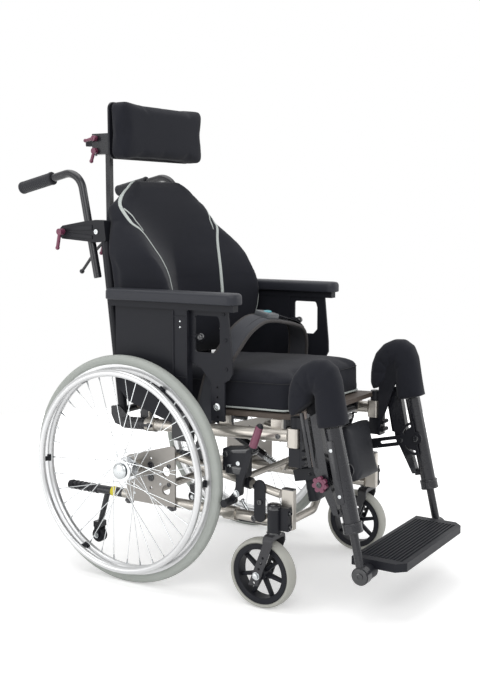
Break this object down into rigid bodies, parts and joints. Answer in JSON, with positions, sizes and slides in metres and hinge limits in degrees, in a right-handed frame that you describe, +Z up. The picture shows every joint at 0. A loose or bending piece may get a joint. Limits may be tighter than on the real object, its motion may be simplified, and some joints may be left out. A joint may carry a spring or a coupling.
{
  "type": "tilt-in-space wheelchair",
  "caption": "Manual tilt-in-space wheelchair with reclining contoured back, headrest, padded elevating legrests, lap belt, armrests and a fold-up footplate.",
  "frame": {"origin": "middle of the footprint on the floor", "axes": "+Z up, the chair faces -Y, +X to the sitter's left"},
  "size_m": [0.699, 1.1866, 1.282],
  "materials": {
    "frame_silver": "champagne silver powder coat, satin",
    "frame_black": "black powder coat, satin",
    "bare_metal": "zinc plated",
    "rim_metal": "anodised, satin",
    "rear_tyre": "grey rubber",
    "castor_tyre": "grey rubber",
    "black_plastic": "moulded, satin",
    "black_fabric": "black stretch cloth",
    "red_lever": "maroon moulding",
    "board": "dark edge",
    "grip": "soft black"
  },
  "bodies": {
    "base": {"side_frames": "frame_silver", "cross_tubes": "frame_silver", "castor_mounts": "frame_black", "brake_bodies": "frame_black"},
    "seat": {"seat_frame": "frame_silver", "seat_board": "board", "seat_cushion": "black_fabric", "lap_belt": "black_fabric", "recline_cylinder": "frame_black"},
    "tilt_rod": {"tilt_rod": "bare_metal"},
    "tilt_cylinder": {"tilt_cylinder": "frame_black"},
    "recline_rod": {"recline_rod": "bare_metal"},
    "back": {"back_frame": "frame_black", "back_shell": "black_plastic", "back_cushion": "black_fabric"},
    "headrest_mast": {"headrest_post": "frame_black"},
    "headrest": {"headrest_arm": "frame_black", "headrest_cushion": "black_fabric"},
    "headrest_lever": {"headrest_lever": "red_lever"},
    "footplate": {"footplate": "black_plastic"},
    "rear_wheel_right": {"rear_tyre_right": "rear_tyre", "rear_rim_right": "rim_metal", "rear_hub_right": "rim_metal"},
    "castor_right": {"castor_fork_right": "frame_black"},
    "castor_wheel_right": {"castor_wheel_right": "black_plastic", "castor_tyre_right": "castor_tyre"},
    "brake_right": {"brake_lever_right": "frame_black"},
    "anti_tipper_right": {"anti_tipper_right": "frame_black"},
    "tipper_wheel_right": {"tipper_wheel_right": "black_plastic"},
    "armrest_right": {"armrest_frame_right": "frame_black", "arm_pad_right": "black_plastic"},
    "push_handle_right": {"push_handle_right": "frame_black"},
    "handle_lever_right": {"handle_lever_right": "red_lever"},
    "leg_hanger_right": {"leg_hanger_right": "frame_black"},
    "leg_right": {"leg_tube_right": "frame_black", "knee_pad_right": "black_fabric"},
    "foot_right": {"foot_tube_right": "frame_black"},
    "calf_right": {"calf_arm_right": "frame_black", "calf_pad_right": "black_fabric"},
    "star_knob_right": {"star_knob_right": "red_lever"},
    "rear_wheel_left": {"rear_tyre_left": "rear_tyre", "rear_rim_left": "rim_metal", "rear_hub_left": "rim_metal"},
    "castor_left": {"castor_fork_left": "frame_black"},
    "castor_wheel_left": {"castor_wheel_left": "black_plastic", "castor_tyre_left": "castor_tyre"},
    "brake_left": {"brake_lever_left": "frame_black"},
    "anti_tipper_left": {"anti_tipper_left": "frame_black"},
    "tipper_wheel_left": {"tipper_wheel_left": "black_plastic"},
    "armrest_left": {"armrest_frame_left": "frame_black", "arm_pad_left": "black_plastic"},
    "push_handle_left": {"push_handle_left": "frame_black"},
    "handle_lever_left": {"handle_lever_left": "red_lever"},
    "leg_hanger_left": {"leg_hanger_left": "frame_black"},
    "leg_left": {"leg_tube_left": "frame_black", "knee_pad_left": "black_fabric"},
    "foot_left": {"foot_tube_left": "frame_black"},
    "calf_left": {"calf_arm_left": "frame_black", "calf_pad_left": "black_fabric"},
    "star_knob_left": {"star_knob_left": "red_lever"}
  },
  "joints": [
    {"name": "seat_tilt", "type": "hinge", "parent": "base", "child": "seat", "pos_m": [0, -0.03128, 0.38], "axis": [-1, 0, 0], "range_deg": [0, 20]},
    {"name": "tilt_rod_pivot", "type": "hinge", "parent": "base", "child": "tilt_rod", "pos_m": [0, -0.14628, 0.284], "axis": [-1, 0, 0], "range_deg": [0, 8.46]},
    {"name": "tilt_spring_slide", "type": "slide", "parent": "tilt_rod", "child": "tilt_cylinder", "axis": [0, 0.8912, 0.4537], "range_m": [-0.0162, 0]},
    {"name": "recline", "type": "hinge", "parent": "seat", "child": "back", "pos_m": [0, 0.24372, 0.44], "axis": [-1, 0, 0], "range_deg": [0, 40]},
    {"name": "recline_rod_slide", "type": "slide", "parent": "seat", "child": "recline_rod", "axis": [0, -1, 0], "range_m": [0, 0.031]},
    {"name": "headrest_height", "type": "slide", "parent": "back", "child": "headrest_mast", "axis": [0, 0, 1], "range_m": [-0.04, 0.1]},
    {"name": "headrest_depth", "type": "slide", "parent": "headrest_mast", "child": "headrest", "axis": [0, 1, 0], "range_m": [-0.05, 0.05]},
    {"name": "headrest_lever_turn", "type": "hinge", "parent": "headrest_mast", "child": "headrest_lever", "pos_m": [0, 0.48272, 1.16], "axis": [1, 0, 0], "range_deg": [0, 90]},
    {"name": "rear_wheel_right_spin", "type": "hinge", "parent": "base", "child": "rear_wheel_right", "pos_m": [-0.3, 0.15872, 0.305], "axis": [-1, 0, 0], "continuous": true},
    {"name": "castor_right_swivel", "type": "hinge", "parent": "base", "child": "castor_right", "pos_m": [-0.264, -0.27628, 0.23], "axis": [0, 0, 1], "continuous": true},
    {"name": "castor_right_spin", "type": "hinge", "parent": "castor_right", "child": "castor_wheel_right", "pos_m": [-0.264, -0.24528, 0.089], "axis": [-1, 0, 0], "continuous": true},
    {"name": "brake_right_lever", "type": "hinge", "parent": "base", "child": "brake_right", "pos_m": [-0.28, -0.17928, 0.285], "axis": [1, 0, 0], "range_deg": [0, 14]},
    {"name": "anti_tipper_right_turn", "type": "hinge", "parent": "base", "child": "anti_tipper_right", "pos_m": [-0.233, 0.18872, 0.216], "axis": [0, 1, 0], "range_deg": [-180, 0]},
    {"name": "tipper_wheel_right_spin", "type": "hinge", "parent": "anti_tipper_right", "child": "tipper_wheel_right", "pos_m": [-0.233, 0.30872, 0.084], "axis": [-1, 0, 0], "continuous": true},
    {"name": "armrest_right_height", "type": "slide", "parent": "seat", "child": "armrest_right", "axis": [0, 0, 1], "range_m": [0, 0.06]},
    {"name": "push_handle_right_height", "type": "slide", "parent": "back", "child": "push_handle_right", "axis": [0, 0.1977, 0.9803], "range_m": [-0.08, 0.12]},
    {"name": "handle_lever_right_turn", "type": "hinge", "parent": "back", "child": "handle_lever_right", "pos_m": [-0.24, 0.42472, 0.927], "axis": [1, 0, 0], "range_deg": [0, 90]},
    {"name": "leg_right_swing", "type": "hinge", "parent": "seat", "child": "leg_hanger_right", "pos_m": [-0.228, -0.31528, 0.43], "axis": [0, 0, -1], "range_deg": [0, 90]},
    {"name": "leg_right_lift", "type": "hinge", "parent": "leg_hanger_right", "child": "leg_right", "pos_m": [-0.238, -0.39628, 0.59], "axis": [-1, 0, 0], "range_deg": [0, 60]},
    {"name": "foot_right_length", "type": "slide", "parent": "leg_right", "child": "foot_right", "axis": [0, -0.2233, -0.9748], "range_m": [-0.05, 0.06]},
    {"name": "calf_right_angle", "type": "hinge", "parent": "leg_right", "child": "calf_right", "pos_m": [-0.21, -0.44785, 0.36483], "axis": [-1, 0, 0], "range_deg": [0, 30]},
    {"name": "star_knob_right_turn", "type": "hinge", "parent": "leg_right", "child": "star_knob_right", "pos_m": [-0.255, -0.39968, 0.33328], "axis": [1, 0, 0], "range_deg": [0, 360]},
    {"name": "rear_wheel_left_spin", "type": "hinge", "parent": "base", "child": "rear_wheel_left", "pos_m": [0.3, 0.15872, 0.305], "axis": [-1, 0, 0], "continuous": true},
    {"name": "castor_left_swivel", "type": "hinge", "parent": "base", "child": "castor_left", "pos_m": [0.264, -0.27628, 0.23], "axis": [0, 0, 1], "continuous": true},
    {"name": "castor_left_spin", "type": "hinge", "parent": "castor_left", "child": "castor_wheel_left", "pos_m": [0.264, -0.24528, 0.089], "axis": [-1, 0, 0], "continuous": true},
    {"name": "brake_left_lever", "type": "hinge", "parent": "base", "child": "brake_left", "pos_m": [0.28, -0.17928, 0.285], "axis": [1, 0, 0], "range_deg": [0, 14]},
    {"name": "anti_tipper_left_turn", "type": "hinge", "parent": "base", "child": "anti_tipper_left", "pos_m": [0.233, 0.18872, 0.216], "axis": [0, -1, 0], "range_deg": [-180, 0]},
    {"name": "tipper_wheel_left_spin", "type": "hinge", "parent": "anti_tipper_left", "child": "tipper_wheel_left", "pos_m": [0.233, 0.30872, 0.084], "axis": [-1, 0, 0], "continuous": true},
    {"name": "armrest_left_height", "type": "slide", "parent": "seat", "child": "armrest_left", "axis": [0, 0, 1], "range_m": [0, 0.06]},
    {"name": "push_handle_left_height", "type": "slide", "parent": "back", "child": "push_handle_left", "axis": [0, 0.1977, 0.9803], "range_m": [-0.08, 0.12]},
    {"name": "handle_lever_left_turn", "type": "hinge", "parent": "back", "child": "handle_lever_left", "pos_m": [0.24, 0.42472, 0.927], "axis": [1, 0, 0], "range_deg": [0, 90]},
    {"name": "leg_left_swing", "type": "hinge", "parent": "seat", "child": "leg_hanger_left", "pos_m": [0.228, -0.31528, 0.43], "axis": [0, 0, 1], "range_deg": [0, 90]},
    {"name": "leg_left_lift", "type": "hinge", "parent": "leg_hanger_left", "child": "leg_left", "pos_m": [0.238, -0.39628, 0.59], "axis": [-1, 0, 0], "range_deg": [0, 60]},
    {"name": "foot_left_length", "type": "slide", "parent": "leg_left", "child": "foot_left", "axis": [0, -0.2233, -0.9748], "range_m": [-0.05, 0.06]},
    {"name": "calf_left_angle", "type": "hinge", "parent": "leg_left", "child": "calf_left", "pos_m": [0.21, -0.44785, 0.36483], "axis": [-1, 0, 0], "range_deg": [0, 30]},
    {"name": "star_knob_left_turn", "type": "hinge", "parent": "leg_left", "child": "star_knob_left", "pos_m": [0.255, -0.39968, 0.33328], "axis": [1, 0, 0], "range_deg": [0, 360]},
    {"name": "footplate_fold", "type": "hinge", "parent": "foot_right", "child": "footplate", "pos_m": [-0.238, -0.50344, 0.12212], "axis": [-1, 0, 0], "range_deg": [0, 90]}
  ],
  "couplings": [
    {"joint": "tilt_rod_pivot", "follows": "seat_tilt", "ratio": 0.40291},
    {"joint": "tilt_spring_slide", "follows": "seat_tilt", "m_per_rad": -0.043572},
    {"joint": "recline_rod_slide", "follows": "recline", "m_per_rad": 0.043027},
    {"joint": "leg_left_lift", "follows": "leg_right_lift", "ratio": 1},
    {"joint": "foot_left_length", "follows": "foot_right_length", "ratio": 1}
  ]
}
